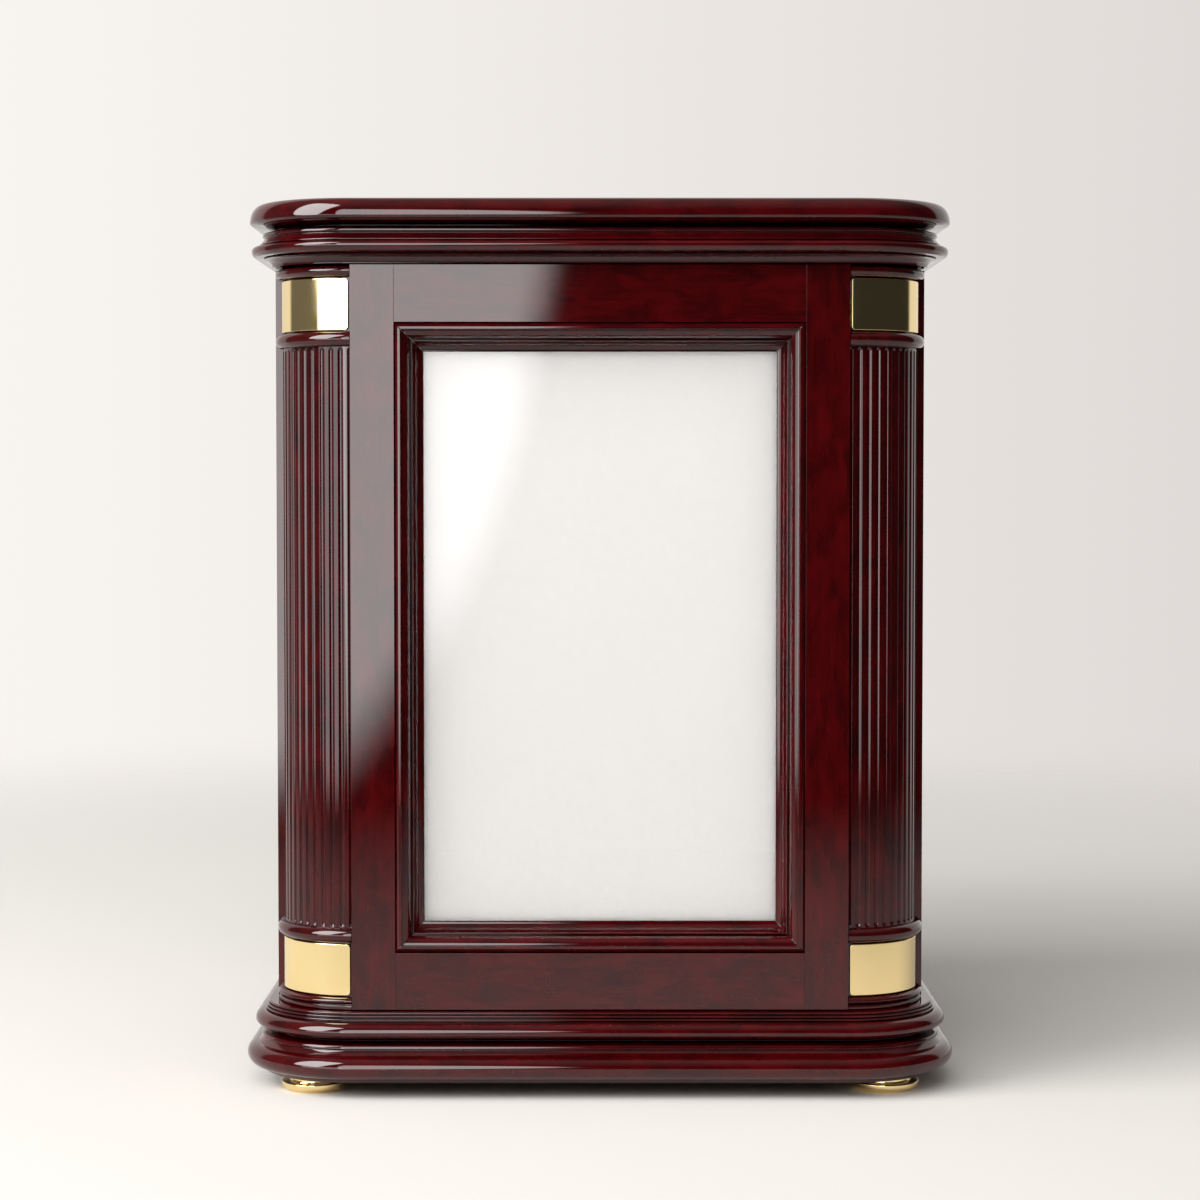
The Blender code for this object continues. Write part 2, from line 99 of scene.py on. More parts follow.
# %% Colour and node helpers
def linear(hex_code):
    """An sRGB hex colour as linear red, green, blue and full alpha."""
    shares = [int(hex_code[at:at + 2], 16) / 255 for at in (1, 3, 5)]
    return [s / 12.92 if s <= 0.04045 else ((s + 0.055) / 1.055) ** 2.4 for s in shares] + [1.0]


def add(tree, kind, inputs=None, **settings):
    """Add a node. Each input is a value, or a socket to link."""
    node = tree.nodes.new(kind)
    for name, value in settings.items():
        setattr(node, name, value)
    for name, value in (inputs or {}).items():
        socket = node.inputs[name]
        if isinstance(value, bpy.types.NodeSocket):
            tree.links.new(value, socket)
        else:
            socket.default_value = value
    return node


def new_material(name):
    """An empty material with its output. Gives the material, its tree and its output node."""
    material = bpy.data.materials.new(name)
    material.use_nodes = True
    material.node_tree.nodes.clear()
    return material, material.node_tree, add(material.node_tree, "ShaderNodeOutputMaterial")


# %% [markdown]
# ## Lacquered mahogany
#
# Each board is mahogany, stained a deep red, then built up with clear lacquer and polished
# until it mirrors the room. So there are two surfaces. The wood below is nearly black red,
# with soft clouds where the grain dips and rises, and finer fibres along it. The lacquer
# above is a coat with an index of 1.5, smooth, but never quite flat: it sinks a little over
# the fibres. The pattern is stretched along the grain, and each piece is cut from another
# place in the plank, so neighbours don't match.
# In grooves and quirks the colour is darkened, which is painted shade.

# %% Lacquered mahogany
FIGURE_LENGTH = 11 * MM    # a cloud in the figure, along the grain
FIGURE_WIDTH = 5 * MM
FIBRE_LENGTH = 16 * MM
FIBRE_WIDTH = 0.7 * MM     # real fibres are under 0.1 mm, and these are coarser so that they show
RIPPLE = 6 * MM            # a wave in the lacquer
PLANK_STEP = (0.31, 0.17, 0.23)    # metres through the plank from one piece to the next


def lacquered_mahogany(name, grain, place, painted_darkening=1.0):
    """Deep red polished mahogany. Place picks the piece of plank, and less than 1 darkens the whole colour
    as painted shade.
    """
    material, tree, output = new_material(name)
    coords = add(tree, "ShaderNodeTexCoord").outputs["Object"]
    turn = {"X": (0, 0, 0), "Y": (0, 0, math.pi / 2), "Z": (0, math.pi / 2, 0)}[grain]
    plank = add(tree, "ShaderNodeMapping", {
        "Vector": coords, "Rotation": turn, "Location": [place * step for step in PLANK_STEP]}).outputs[0]
    figure_at, fibre_at = [
        add(tree, "ShaderNodeVectorMath", {0: plank, 1: (1 / length, 1 / width, 1 / width)},
            operation="MULTIPLY").outputs[0]
        for length, width in ((FIGURE_LENGTH, FIGURE_WIDTH), (FIBRE_LENGTH, FIBRE_WIDTH))]
    figure = add(tree, "ShaderNodeTexNoise", {"Vector": figure_at, "Scale": 1.0, "Detail": 3.0,
                                              "Roughness": 0.55, "Distortion": 0.6}).outputs["Fac"]
    fibre = add(tree, "ShaderNodeTexNoise", {"Vector": fibre_at, "Scale": 1.0, "Detail": 2.0,
                                             "Roughness": 0.6}).outputs["Fac"]
    tone = add(tree, "ShaderNodeMath", {0: fibre, 1: 0.35, 2: figure}, operation="MULTIPLY_ADD").outputs[0]
    ramp = add(tree, "ShaderNodeValToRGB", {"Fac": tone})
    stops = ramp.color_ramp.elements
    stops[0].position, stops[0].color = 0.46, linear("#290103")
    stops[1].position, stops[1].color = 0.92, linear("#490408")
    middle = stops.new(0.67)
    middle.color = linear("#3A0204")
    # Painted shade: the colour is darkened where ambient occlusion finds a groove or recess close by.
    occlusion = add(tree, "ShaderNodeAmbientOcclusion", {"Distance": 2 * MM}, samples=4, only_local=True)
    painted_hollow_shade = add(tree, "ShaderNodeMapRange", {
        "Value": occlusion.outputs["AO"], "From Min": 0.3, "From Max": 0.95,
        "To Min": 0.45 * painted_darkening, "To Max": painted_darkening}).outputs[0]
    colour = add(tree, "ShaderNodeMix", {0: 1.0, 6: ramp.outputs["Color"], 7: painted_hollow_shade},
                 data_type="RGBA", blend_type="MULTIPLY").outputs[2]
    rough = add(tree, "ShaderNodeMapRange", {"Value": figure, "From Min": 0.3, "From Max": 0.7,
                                             "To Min": 0.38, "To Max": 0.30}).outputs[0]
    ripple = add(tree, "ShaderNodeTexNoise", {
        "Vector": coords, "Scale": 1 / RIPPLE, "Detail": 1.0}).outputs["Fac"]
    lacquer = add(tree, "ShaderNodeBump", {"Height": ripple, "Strength": 0.015, "Distance": 0.1 * MM})
    shader = add(tree, "ShaderNodeBsdfPrincipled", {
        "Base Color": colour, "Roughness": rough, "IOR": 1.5, "Specular IOR Level": 0.0,
        "Coat Weight": 1.0, "Coat Roughness": 0.03, "Coat IOR": 1.5,
        "Coat Normal": lacquer.outputs["Normal"]})
    tree.links.new(shader.outputs[0], output.inputs["Surface"])
    return material


# %% [markdown]
# ## Polished brass
#
# The bands and feet are brass, turned or rolled, and then buffed on a wheel. Buffing leaves
# a mirror with very fine haze. The colour is a pale gold, and a little browner in the
# places that a cloth doesn't reach.

# %% Polished brass
BUFF_WIDTH = 0.25 * MM     # buffing lines are finer, and are drawn this wide so that they show
BUFF_LENGTH = 5 * MM
TARNISH_CLOUD = 7 * MM


def polished_brass():
    material, tree, output = new_material("polished_brass")
    coords = add(tree, "ShaderNodeTexCoord").outputs["Object"]
    cloud = add(tree, "ShaderNodeTexNoise", {
        "Vector": coords, "Scale": 1 / TARNISH_CLOUD, "Detail": 3.0}).outputs["Fac"]
    colour = add(tree, "ShaderNodeMix", {0: cloud, 6: linear("#F5DA9D"), 7: linear("#FAE4AE")},
                 data_type="RGBA").outputs[2]
    lines_at = add(tree, "ShaderNodeVectorMath", {
        0: coords, 1: (1 / BUFF_LENGTH, 1 / BUFF_LENGTH, 1 / BUFF_WIDTH)}, operation="MULTIPLY").outputs[0]
    lines = add(tree, "ShaderNodeTexNoise", {
        "Vector": lines_at, "Scale": 1.0, "Detail": 2.0}).outputs["Fac"]
    rough = add(tree, "ShaderNodeMapRange", {"Value": cloud, "From Min": 0.3, "From Max": 0.7,
                                             "To Min": 0.07, "To Max": 0.12}).outputs[0]
    buffed = add(tree, "ShaderNodeBump", {"Height": lines, "Strength": 0.03, "Distance": 0.02 * MM})
    shader = add(tree, "ShaderNodeBsdfPrincipled", {
        "Base Color": colour, "Metallic": 1.0, "Roughness": rough, "Normal": buffed.outputs["Normal"]})
    tree.links.new(shader.outputs[0], output.inputs["Surface"])
    return material


# %% [markdown]
# ## Glass, card and fibreboard
#
# Picture glass is clear float glass, 2 mm thick, so it takes plain values: full
# transmission, no roughness and an index of 1.5. The blank card is matt and almost white.
# The fibreboard behind it is pressed from brown pulp, with darker flecks.

# %% Glass, card and fibreboard
def picture_glass():
    material, tree, output = new_material("picture_glass")
    shader = add(tree, "ShaderNodeBsdfPrincipled", {
        "Base Color": linear("#FEFEFE"), "Roughness": 0.0, "IOR": 1.5, "Transmission Weight": 1.0})
    tree.links.new(shader.outputs[0], output.inputs["Surface"])
    return material


def fibrous(name, dark, light, fleck, roughness, relief):
    """A matt sheet of pressed fibres: card or fibreboard."""
    material, tree, output = new_material(name)
    coords = add(tree, "ShaderNodeTexCoord").outputs["Object"]
    flecks = add(tree, "ShaderNodeTexNoise", {"Vector": coords, "Scale": 1 / fleck, "Detail": 4.0,
                                              "Roughness": 0.7}).outputs["Fac"]
    ramp = add(tree, "ShaderNodeValToRGB", {"Fac": flecks})
    stops = ramp.color_ramp.elements
    stops[0].position, stops[0].color = 0.3, linear(dark)
    stops[1].position, stops[1].color = 0.7, linear(light)
    bump = add(tree, "ShaderNodeBump", {"Height": flecks, "Strength": 0.2, "Distance": relief})
    shader = add(tree, "ShaderNodeBsdfPrincipled", {
        "Base Color": ramp.outputs["Color"], "Roughness": roughness, "IOR": 1.45,
        "Normal": bump.outputs["Normal"]})
    tree.links.new(shader.outputs[0], output.inputs["Surface"])
    return material


brass = polished_brass()
glass = picture_glass()
card = fibrous("matt_white_card", "#F3F2F2", "#F8F7F7", 1.2 * MM, 0.75, 0.02 * MM)
fibreboard = fibrous("pressed_fibreboard", "#5A3A22", "#8A6240", 1.5 * MM, 0.85, 0.1 * MM)

# %% [markdown]
# ## Handing a piece over
#
# Every finished piece is named, gets its material, rides on the urn's one body, and takes
# the place of its plain node. A helper does that, so that no piece is forgotten. Another
# turns a closed bmesh into an object whose faces point outwards.


# %% Finishing helpers
dressed = []


def finish_piece(obj, slot, *nodes):
    """Hand a piece over: it rides on the body and stands for its nodes."""
    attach(obj, "root")
    if nodes:
        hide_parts(*nodes)
    dressed.append(obj.name)
    return obj


def link(name, mesh, material):
    mesh.name = name
    mesh.materials.clear()
    mesh.materials.append(material)
    obj = bpy.data.objects.new(name, mesh)
    bpy.context.scene.collection.objects.link(obj)
    return obj


def evaluated_mesh(obj):
    return bpy.data.meshes.new_from_object(obj.evaluated_get(bpy.context.evaluated_depsgraph_get()))


def shaded(mesh, sharp):
    """Smooth, creased where it turns by more than the sharp angle, and flat faces kept flat.

    Weighted normals lean towards the large faces, so a bevel bends only its own light.
    """
    mesh.shade_smooth()
    mesh.set_sharp_from_angle(angle=math.radians(sharp))
    host = bpy.data.objects.new("shading", mesh)
    bpy.context.scene.collection.objects.link(host)
    weighted = host.modifiers.new("weighted", "WEIGHTED_NORMAL")
    weighted.keep_sharp = True
    weighted.weight = 100
    result = evaluated_mesh(host)
    bpy.data.objects.remove(host, do_unlink=True)
    return result


def closed_mesh(bm, name, sharp=40):
    """A closed bmesh as a shaded mesh whose faces point outwards."""
    bmesh.ops.recalc_face_normals(bm, faces=bm.faces)
    if bm.calc_volume(signed=True) < 0:
        bmesh.ops.reverse_faces(bm, faces=bm.faces)
    mesh = bpy.data.meshes.new(name)
    bm.to_mesh(mesh)
    bm.free()
    return shaded(mesh, sharp)


# %% [markdown]
# ## Profiles
#
# A moulding is drawn as its section: how far each point reaches out from the corner column's
# axis, and how high it is. Rounds are quarter ellipses. A sharp corner on lacquered wood is
# never sharp, because sanding and lacquer round it, so a last step eases every corner by
# about 0.15 mm. That little round is what catches a thread of light along each edge.


# %% Profile helpers
def quarter(start, end, leaves, steps):
    """Points of a quarter ellipse after start, to end. It leaves start flat or upright."""
    points = []
    for step in range(1, steps + 1):
        turn = math.radians(90 * step / steps)
        shares = (math.sin(turn), 1 - math.cos(turn))
        if leaves == "upright":
            shares = shares[::-1]
        points.append(tuple(a + (b - a) * share for a, b, share in zip(start, end, shares)))
    return points


def bead(neck, nose, low, high, steps, rise=None):
    """A round that leaves the neck, reaches the nose halfway up, or at a rise, and comes back."""
    middle = (low + high) / 2 if rise is None else low + rise
    outward = quarter((neck, low), (nose, middle), "flat", steps)
    return [(neck, low)] + outward + quarter((nose, middle), (neck, high), "upright", steps)


def eased(points, radius=0.15 * MM, steps=3, sharp=35):
    """Round off the corners that turn by more than the sharp angle."""
    result = [points[0]]
    for before, at, after in zip(points, points[1:], points[2:]):
        before, at, after = Vector(before), Vector(at), Vector(after)
        back, on = before - at, after - at
        if min(back.length, on.length) < 1e-6 or back.angle(-on) < math.radians(sharp):
            result.append(tuple(at))
            continue
        reach = min(radius, 0.45 * back.length, 0.45 * on.length)
        start, end = at + back.normalized() * reach, at + on.normalized() * reach
        for step in range(steps + 1):
            t = step / steps
            result.append(tuple((1 - t) ** 2 * start + 2 * t * (1 - t) * at + t ** 2 * end))
    return result + [points[-1]]


# %% [markdown]
# ## A moulding that turns the corners
#
# The crown and the base are boards whose edges were run past a cutter, straight along each
# side and in a curve round each corner column. So each is one section carried round a
# square path with round corners. The corners turn about the column axes, which keeps every
# bead as wide round the corner as along the side. A Geometry Nodes tree makes it: a grid has one
# row for each point of the section and one column for each stop on the path, and every
# point is moved to where its row and column say. The same tree turns a foot, with the
# corner centres drawn together on one axis.


# %% The tree: a section carried round the corners
def group_input(tree, name, kind, default=None):
    socket = tree.interface.new_socket(name, in_out="INPUT", socket_type=kind)
    if default is not None:
        socket.default_value = default
    return socket


ROUNDING_ROOM = 0.0001    # keeps a whole number from being rounded down to the one below


def calc(tree, operation, a, b=0.0, c=0.0):
    """One step of arithmetic in a tree."""
    return add(tree, "ShaderNodeMath", {0: a, 1: b, 2: c}, operation=operation).outputs[0]


def section_grid(tree, start, columns):
    """A grid with a row for each point of the section. Gives it, and its column and row numbers."""
    rows = add(tree, "GeometryNodeAttributeDomainSize", {
        "Geometry": start.outputs["Section"]}).outputs["Point Count"]
    grid = add(tree, "GeometryNodeMeshGrid", {"Vertices X": columns, "Vertices Y": rows}).outputs["Mesh"]
    index = add(tree, "GeometryNodeInputIndex").outputs[0]
    ratio = calc(tree, "DIVIDE", index, rows)
    column = calc(tree, "FLOOR", calc(tree, "ADD", ratio, ROUNDING_ROOM))
    row = calc(tree, "MODULO", index, rows)
    place = add(tree, "GeometryNodeInputPosition").outputs[0]
    sampled = add(tree, "GeometryNodeSampleIndex", {
        "Geometry": start.outputs["Section"], "Value": place, "Index": row}, data_type="FLOAT_VECTOR")
    return grid, column, add(tree, "ShaderNodeSeparateXYZ", {0: sampled.outputs[0]})


def close_tree(tree, mesh, material):
    """Merge the seams, and end in plain geometry with its material."""
    merged = add(tree, "GeometryNodeMergeByDistance", {"Geometry": mesh, "Distance": 0.00001}).outputs[0]
    real = add(tree, "GeometryNodeRealizeInstances", {"Geometry": merged}).outputs[0]
    painted = add(tree, "GeometryNodeSetMaterial", {"Geometry": real, "Material": material}).outputs[0]
    tree.interface.new_socket("Geometry", in_out="OUTPUT", socket_type="NodeSocketGeometry")
    add(tree, "NodeGroupOutput", {0: painted})


def corner_moulding_tree():
    tree = bpy.data.node_groups.new("section_round_the_corners", "GeometryNodeTree")
    group_input(tree, "Section", "NodeSocketGeometry")
    group_input(tree, "Corner centre", "NodeSocketFloat", 0.0646)
    group_input(tree, "Steps per corner", "NodeSocketInt", 24)
    group_input(tree, "Material", "NodeSocketMaterial")
    start = add(tree, "NodeGroupInput")
    steps = start.outputs["Steps per corner"]
    stops = calc(tree, "ADD", steps, 1.0)
    around = calc(tree, "MULTIPLY_ADD", stops, 4.0, 1.0)
    grid, column, section = section_grid(tree, start, around)
    corner = calc(tree, "FLOOR", calc(tree, "DIVIDE", calc(tree, "ADD", column, ROUNDING_ROOM), stops))
    step = calc(tree, "SUBTRACT", column, calc(tree, "MULTIPLY", corner, stops))
    share = calc(tree, "DIVIDE", step, steps)
    angle = calc(tree, "MULTIPLY", calc(tree, "ADD", corner, share), math.pi / 2)
    middle = calc(tree, "MULTIPLY_ADD", corner, math.pi / 2, math.pi / 4)
    axes = []
    for wave in ("COSINE", "SINE"):
        side = calc(tree, "SIGN", calc(tree, wave, middle))
        centre = calc(tree, "MULTIPLY", side, start.outputs["Corner centre"])
        centre = calc(tree, "MULTIPLY", centre, section.outputs["Y"])
        axes.append(calc(tree, "MULTIPLY_ADD", calc(tree, wave, angle), section.outputs["X"], centre))
    place = add(tree, "ShaderNodeCombineXYZ", {
        "X": axes[0], "Y": axes[1], "Z": section.outputs["Z"]}).outputs[0]
    moved = add(tree, "GeometryNodeSetPosition", {"Geometry": grid, "Position": place}).outputs[0]
    close_tree(tree, moved, start.outputs["Material"])
    return tree


def run_tree(name, tree, points, settings, sharp=40):
    """Run a tree on a section of (reach, share of the centre, height), and give a plain mesh."""
    section = bpy.data.meshes.new(name)
    section.from_pydata(points, [(i, i + 1) for i in range(len(points) - 1)], [])
    host = bpy.data.objects.new(name + "_section", section)
    bpy.context.scene.collection.objects.link(host)
    modifier = host.modifiers.new("tree", "NODES")
    modifier.node_group = tree
    for item in tree.interface.items_tree:
        if item.item_type == "SOCKET" and item.in_out == "INPUT" and item.name in settings:
            modifier[item.identifier] = settings[item.name]
    mesh = evaluated_mesh(host)
    bpy.data.objects.remove(host, do_unlink=True)
    bm = bmesh.new()
    bm.from_mesh(mesh)
    bpy.data.meshes.remove(mesh)
    bmesh.ops.dissolve_degenerate(bm, dist=0.000002, edges=bm.edges)
    print(name, len(bm.faces), "faces, open edges:", sum(len(e.link_faces) != 2 for e in bm.edges))
    return closed_mesh(bm, name, sharp)


round_corners = corner_moulding_tree()

# %% [markdown]
# ## The crown
#
# The crown is one thick board. Its edge is a round nosing above a dark recess, a thin
# arris, a cove, a bead, and a bed moulding that meets the panels. Its section goes from the
# middle of the underside, out and up round the edge, and back to the middle of the top.

# %% Crown
COLUMN_AXIS = 64.6 * MM
CROWN_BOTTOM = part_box("crown")[0].z
mahogany_x = lacquered_mahogany("lacquered_mahogany_crown", "X", 1)


def crown_section():
    z = CROWN_BOTTOM / MM
    points = [(22.0, z)] + quarter((22.0, z), (24.4, z + 2.2), "upright", 10)
    points += [(23.8, z + 2.45)] + bead(26.2, 27.4, z + 2.7, z + 5.5, 14, 1.7)
    points += [(24.8, z + 5.55), (24.9, z + 5.75), (25.3, z + 5.8), (25.3, z + 6.1)]
    points += [(24.75, z + 6.6), (24.3, z + 7.25), (24.0, z + 7.7), (24.2, z + 7.95)]
    points += quarter((24.2, z + 7.95), (24.46, z + 8.1), "flat", 3) + [(24.5, z + 8.25), (24.46, z + 8.5)]
    points += quarter((24.46, z + 8.5), (23.4, z + 9.1), "upright", 8)
    points += [(21.2, z + 9.75)] + bead(24.6, 27.8, z + 10.4, z + 16.4, 16, 1.5)
    return [(x * MM, y * MM) for x, y in points]


def carried_round(section, centre_share=1.0):
    """Section points with both ends led to the corner centres and then to the middle."""
    low, high = section[0][1], section[-1][1]
    ends = [(0, 0, low), (0, centre_share, low)], [(0, centre_share, high), (0, 0, high)]
    return ends[0] + [(reach, centre_share, z) for reach, z in eased(section)] + ends[1]


crown_mesh = run_tree("crown", round_corners, carried_round(crown_section()),
                      {"Corner centre": COLUMN_AXIS, "Steps per corner": 24, "Material": mahogany_x})
finish_piece(link("crown_moulded", crown_mesh, mahogany_x), "mahogany", "crown")

# %% [markdown]
# ## The base
#
# The base is built up in the same way: a plinth strip, a heavy torus, a hollow with its
# fillet, a bead, and two fine reeds under the panels. It is open in the middle, because
# the urn is filled from below, and a rebate round the opening takes the bottom board. The
# two openings are cut with Boolean modifiers after the section is carried round.

# %% Base
BASE_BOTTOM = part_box("base_moulding")[0].z
BASE_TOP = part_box("base_moulding")[1].z
mahogany_base = lacquered_mahogany("lacquered_mahogany_base", "X", 2)


def base_section():
    z = BASE_BOTTOM / MM
    points = [(25.0, z), (25.0, z + 1.2)] + bead(26.4, 29.4, z + 1.2, z + 7.2, 16)
    points += [(25.85, z + 7.7), (25.45, z + 8.15), (25.1, z + 8.65)]
    points += [(25.58, z + 8.85), (25.5, z + 9.4), (25.3, z + 9.75)]
    points += [(22.6, z + 10.6)] + bead(24.6, 27.2, z + 11.4, z + 15.7, 14, 1.8)
    z += 15.7
    for nose in (24.5, 24.1, 23.7):
        points += [(nose - 0.6, z), (nose - 0.6, z + 0.2)] + bead(nose - 0.3, nose, z + 0.2, z + 0.8, 5)
        z += 0.8
    return [(x * MM, y * MM) for x, y in points]


def box_bmesh(low, high):
    bm = bmesh.new()
    low, high = Vector(low), Vector(high)
    size = Matrix.Diagonal((*(high - low), 1.0))
    bmesh.ops.create_cube(bm, size=1.0, matrix=Matrix.Translation((low + high) / 2) @ size)
    return bm


def cut(obj, low, high):
    """Take a box out of an object and keep the result as its plain mesh."""
    cutter = bpy.data.objects.new("cutter", closed_mesh(box_bmesh(low, high), "cutter"))
    bpy.context.scene.collection.objects.link(cutter)
    modifier = obj.modifiers.new("opening", "BOOLEAN")
    modifier.operation = "DIFFERENCE"
    modifier.object = cutter
    mesh = evaluated_mesh(obj)
    obj.modifiers.clear()
    obj.data = mesh
    bpy.data.objects.remove(cutter, do_unlink=True)


base_mesh = run_tree("base", round_corners, carried_round(base_section()),
                     {"Corner centre": COLUMN_AXIS, "Steps per corner": 24, "Material": mahogany_base})
base = link("base_moulded", base_mesh, mahogany_base)
WAY_IN, REBATE = 56 * MM, 62 * MM
LEDGE = BASE_BOTTOM + 8.8 * MM
cut(base, (-WAY_IN, -WAY_IN, BASE_BOTTOM - MM), (WAY_IN, WAY_IN, BASE_TOP + MM))
cut(base, (-REBATE, -REBATE, BASE_BOTTOM - MM), (REBATE, REBATE, LEDGE))
base.data = shaded(base.data, 40)
finish_piece(base, "mahogany", "base_moulding")

# %% [markdown]
# ## The columns
#
# Each corner is a quarter of a turned column. A foot bead, beads above and below each brass
# band, and between them a shaft with thirteen channels, cut with a round-nosed cutter that
# leaves a round end. The tree is the same grid idea: each point is turned about the axis,
# and on the shaft it is pushed in by the depth of the nearest channel. Its first and last
# columns are drawn in to the axis, which closes the two flat sides.


# %% The tree: a fluted quarter column
def fluted_column_tree():
    tree = bpy.data.node_groups.new("fluted_quarter_column", "GeometryNodeTree")
    group_input(tree, "Section", "NodeSocketGeometry")
    group_input(tree, "Flutes", "NodeSocketInt", 12)
    group_input(tree, "Steps per flute", "NodeSocketInt", 20)
    for name in ("Flute edge", "Flute depth", "Shaft radius", "Lowest centre", "Highest centre"):
        group_input(tree, name, "NodeSocketFloat", 0.001)
    group_input(tree, "Material", "NodeSocketMaterial")
    start = add(tree, "NodeGroupInput")

    def part(operation, a, b=0.0, c=0.0):
        return calc(tree, operation, a, b, c)

    flutes = start.outputs["Flutes"]
    last = part("MULTIPLY", flutes, start.outputs["Steps per flute"])
    grid, column, section = section_grid(tree, start, part("ADD", last, 3.0))
    step = part("MINIMUM", part("MAXIMUM", part("SUBTRACT", column, 1.0), 0.0), last)
    share = part("DIVIDE", step, last)
    angle = part("MULTIPLY", share, math.pi / 2)
    at_flute = part("MULTIPLY", share, flutes)
    aside = part("SUBTRACT", at_flute, part("ROUND", at_flute))
    pitch = part("DIVIDE", part("MULTIPLY", start.outputs["Shaft radius"], math.pi / 2), flutes)
    across = part("MULTIPLY", aside, pitch)
    z = section.outputs["Z"]
    beyond = part("MAXIMUM", part("SUBTRACT", start.outputs["Lowest centre"], z),
                  part("SUBTRACT", z, start.outputs["Highest centre"]))
    beyond = part("MAXIMUM", beyond, 0.0)
    away = part("SQRT", part("ADD", part("MULTIPLY", across, across), part("MULTIPLY", beyond, beyond)))
    aside_share = part("MINIMUM", part("DIVIDE", away, start.outputs["Flute edge"]), 1.0)
    hollow = part("SUBTRACT", 1.0, part("MULTIPLY", aside_share, aside_share))
    depth = part("MULTIPLY", part("MULTIPLY", hollow, start.outputs["Flute depth"]), section.outputs["Y"])
    inside = part("COMPARE", part("SUBTRACT", column, 1.0), step, 0.5)
    reach = part("MULTIPLY", part("SUBTRACT", section.outputs["X"], depth), inside)
    place = add(tree, "ShaderNodeCombineXYZ", {
        "X": part("MULTIPLY", reach, part("COSINE", angle)),
        "Y": part("MULTIPLY", reach, part("SINE", angle)), "Z": z}).outputs[0]
    moved = add(tree, "GeometryNodeSetPosition", {"Geometry": grid, "Position": place}).outputs[0]
    close_tree(tree, moved, start.outputs["Material"])
    return tree


# %% Columns
SHAFT_RADIUS = 19.3 * MM
BEAD_RADIUS = 21.2 * MM
BEAD_HEIGHT = 3.9 * MM
CAPITAL_HEIGHT = 3.0 * MM
BAND_RADIUS = 19.7 * MM
BAND_THICKNESS = 0.8 * MM
BAND_HEIGHT = 13.5 * MM
FLUTE_EDGE = 0.68 * MM       # half the channel's width, between the lands
FLUTE_DEPTH = 0.34 * MM
low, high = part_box("column_front_left")
FOOT, HEAD = low.z, high.z
SEAT = 18.6 * MM
BAND_ZONE = 14.1 * MM
CORNERS = {"back_right": 0, "back_left": 1, "front_left": 2, "front_right": 3}


def column_section():
    """Points of (radius, share of the flutes' depth, height) from the axis, out, up and back."""
    z = FOOT
    turned = [(20.8 * MM, z), (20.8 * MM, z + 1.0 * MM)]
    z += 1.0 * MM
    turned += bead(SHAFT_RADIUS, BEAD_RADIUS, z, z + 2.0 * MM, 8)
    z += 2.0 * MM
    turned += [(SEAT, z), (SEAT, z + BAND_ZONE)]
    z += BAND_ZONE
    turned += bead(SHAFT_RADIUS, BEAD_RADIUS, z, z + BEAD_HEIGHT, 10)
    shaft_low = z + BEAD_HEIGHT
    shaft_high = HEAD - CAPITAL_HEIGHT - BAND_ZONE - BEAD_HEIGHT
    upper = bead(SHAFT_RADIUS, BEAD_RADIUS, shaft_high, shaft_high + BEAD_HEIGHT, 10)
    z = shaft_high + BEAD_HEIGHT
    upper += [(SEAT, z), (SEAT, z + BAND_ZONE)]
    z += BAND_ZONE
    upper += bead(SHAFT_RADIUS, BEAD_RADIUS, z, z + CAPITAL_HEIGHT, 10)
    stop = 0.3 * MM
    ends = [stop + FLUTE_EDGE * share for share in (0.0, 0.15, 0.3, 0.45, 0.6, 0.75, 0.9, 1.0, 1.3)]
    rows = [shaft_low + d for d in ends]
    rows += [shaft_low + (shaft_high - shaft_low) * step / 12 for step in range(1, 12)]
    rows += [shaft_high - d for d in reversed(ends)]
    points = [(0, 0, FOOT)] + [(r, 0, z) for r, z in eased(turned)]
    points += [(SHAFT_RADIUS, 1, z) for z in rows]
    points += [(r, 0, z) for r, z in eased(upper)] + [(0, 0, HEAD)]
    return points, shaft_low + stop + FLUTE_EDGE, shaft_high - stop - FLUTE_EDGE


# The columns' mahogany is darkened to 0.9 of its colour as painted shade.
mahogany_z = lacquered_mahogany("lacquered_mahogany_columns", "Z", 3, 0.9)
points, lowest, highest = column_section()
column_mesh = run_tree("column", fluted_column_tree(), points, {
    "Flutes": 12, "Steps per flute": 26, "Flute edge": FLUTE_EDGE, "Flute depth": FLUTE_DEPTH,
    "Shaft radius": SHAFT_RADIUS, "Lowest centre": lowest, "Highest centre": highest,
    "Material": mahogany_z}, sharp=60)


def at_corner(mesh, name):
    """A copy of a mesh about the Z axis, turned and moved to a corner of the urn."""
    turn = Matrix.Rotation(math.radians(90 * CORNERS[name]), 4, "Z")
    across, along = (1 if "right" in name else -1), (1 if "back" in name else -1)
    copy = mesh.copy()
    copy.transform(Matrix.Translation((across * COLUMN_AXIS, along * COLUMN_AXIS, 0)) @ turn)
    return copy


for name in CORNERS:
    piece = link("column_fluted_" + name, at_corner(column_mesh, name), mahogany_z)
    finish_piece(piece, "mahogany", "column_" + name)

# %% [markdown]
# ## The brass bands
#
# Two bands sit round each column. Each is cut from strip with its corners filed round, its
# front edges bevelled, and then rolled to the column's curve. It is made in the same order
# here: a flat plate, corners, bevel, cross cuts, and then the bend.

# %% Bands
BAND_CORNER = 1.0 * MM
BAND_BEVEL = 0.22 * MM
BAND_END_GAP = 0.35 * MM     # to the flat side of the column
BAND_CUTS = 28


